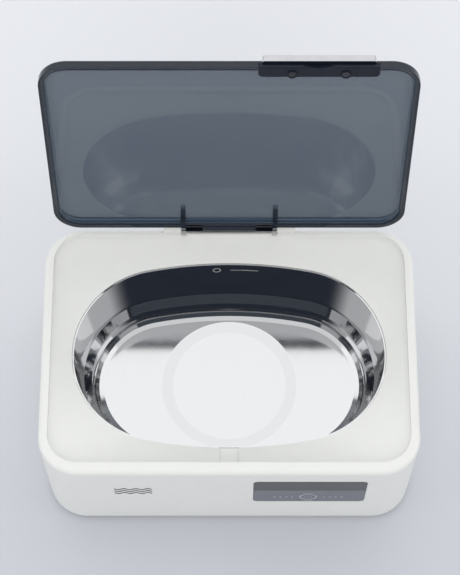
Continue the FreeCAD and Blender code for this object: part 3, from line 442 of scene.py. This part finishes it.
edge_lines = (lip_only * (1 - between_lines)).most(thick_mask)
# For 8.5 mm inside the lip the panel is a little more opaque, so darker: painted shade where the plate
# curves at its edge.
painted_shade_near_lip = 1 - from_edge.step(LIP, 0.0085)
haze = smoked_plastic.place.noise(22, 3.0)
# The tint is painted lighter towards the free edge, which is at the top when the lid is open: a
# painted reflection of the bright floor, mixed with random haze.
painted_reflection_to_front = 1 - back.step(-0.060, 0.030)
tint_and_painted_reflection = (haze * 0.2 + painted_reflection_to_front * 0.8).paint((0.026, 0.058, 0.100), (0.056, 0.090, 0.132))
smoked_plastic.feed("Base Color", lip_mask.blend(tint_and_painted_reflection, (0.010, 0.016, 0.028, 1)))
smoked_plastic.feed("Roughness", haze * 0.02 + 0.02)
smoked_plastic.feed("Alpha", lip_mask * 0.08 + edge_lines * 0.17 + painted_shade_near_lip * 0.05 + 0.67)
dress(smoked_plastic, "lid_shell")

# Handle.
# A dark block clipped over the lid's free edge and held by two small screws, with a bright plated
# strip on the outside for the finger.
smoked_grip = Finish("smoked_grip", Specular_IOR_Level=0.25).grain(
    (0.008, 0.011, 0.020), (0.012, 0.015, 0.026), 0.12, 0.04, 900, 0.000004
)
dress(smoked_grip, "handle_grip")
plated_trim = Finish("plated_trim", Metallic=1.0).grain(
    (0.68, 0.68, 0.70), (0.72, 0.72, 0.74), 0.10, 0.03, 1400, 0.000002
)
dress(plated_trim, "handle_trim")

# Floor.
# A plain pale table top, cool in tone, that the cleaner stands on. It is painted a little darker in
# front: a painted fall-off of the light.
ground = bmesh.new()
bmesh.ops.create_grid(ground, x_segments=1, y_segments=1, size=4.0)
ground_mesh = bpy.data.meshes.new("floor")
ground.to_mesh(ground_mesh)
ground.free()
floor = bpy.data.objects.new("floor", ground_mesh)
bpy.context.scene.collection.objects.link(floor)
table_top = Finish("table_top", Specular_IOR_Level=0.2)
table_skin = table_top.place.noise(300, 4.0, 0.6)
table_top.feed("Roughness", table_skin.step(0.25, 0.75) * 0.1 + 0.55).bump(table_skin, 0.00001)
# Painted shade: the colour darkens towards the front, a painted fall-off of the light.
painted_light_to_rear = table_top.place.axis("Y").step(-0.30, 0.32)
table_top.feed("Base Color", painted_light_to_rear.paint((0.505, 0.520, 0.565), (0.815, 0.822, 0.848)))
floor.data.materials.append(table_top.material)

# Studio light.
# A wide softbox high over the rear of the object, one in front that polished faces don't mirror, and
# a weak one at each side. The room is pale, but darker low down, and dark behind the camera and to
# the left and right of it.


def softbox(name, place, target, width, height, watts, tint, mirrored=True):
    lamp = bpy.data.lights.new(name, "AREA")
    lamp.shape = "RECTANGLE"
    lamp.size = width
    lamp.size_y = height
    lamp.energy = watts
    lamp.color = tint
    holder = bpy.data.objects.new(name, lamp)
    holder.location = place
    holder.visible_glossy = mirrored
    holder.rotation_euler = (Vector(target) - Vector(place)).to_track_quat("-Z", "Y").to_euler()
    bpy.context.scene.collection.objects.link(holder)


softbox("overhead", (0, 0.60, 1.32), (0, 0, 0), 1.8, 1.1, 3.0, (1.0, 0.995, 0.970))
softbox("front", (0, -1.10, 0.88), (0, 0, 0.05), 1.6, 0.8, 6.2, (1.0, 1.0, 0.985), False)
softbox("left", (-1.2, -0.1, 0.55), (0, 0, 0.05), 0.9, 0.45, 1.4, (0.97, 0.985, 1.0))
softbox("right", (1.2, -0.1, 0.55), (0, 0, 0.05), 0.9, 0.45, 1.4, (0.97, 0.985, 1.0))

room = bpy.data.worlds.new("room")
room.use_nodes = True
bpy.context.scene.world = room
sky = Signal(room.node_tree).node("ShaderNodeTexCoord", output="Generated")
CAMERA_SIDE = (0, -0.62, 0.785)
toward_camera = sky.node(
    "ShaderNodeVectorMath", {"operation": "DOT_PRODUCT"}, {0: sky, 1: CAMERA_SIDE}, output="Value"
)
sideways = sky.axis("X")
dark_side = (toward_camera + sideways * sideways * 0.35).step(0.88, 0.965)
height = sky.axis("Z").step(-0.1, 0.95)
level = (1 - dark_side) * (height * 0.38 + 0.66)
wall_tint = level.paint((0.030, 0.036, 0.052), (0.62, 0.628, 0.640))
backdrop = room.node_tree.nodes["Background"]
room.node_tree.links.new(wall_tint.socket, backdrop.inputs["Color"])
backdrop.inputs["Strength"].default_value = 1.63

# Camera.
# It stands a metre up in front of the object and looks down on it, 67 degrees below the horizon.
CAMERA_DIP = 67.21
camera = bpy.data.objects.new("camera", bpy.data.cameras.new("camera"))
camera.location = (0, -0.347, 0.9918)
camera.rotation_euler = (math.radians(90 - CAMERA_DIP), 0, 0)
camera.data.lens = 114.5
camera.data.sensor_width = 36
camera.data.shift_x = 0.0014
camera.data.shift_y = -0.0009
camera.data.clip_start = 0.05
bpy.context.scene.collection.objects.link(camera)
bpy.context.scene.camera = camera
bpy.context.scene.view_settings.view_transform = "Standard"
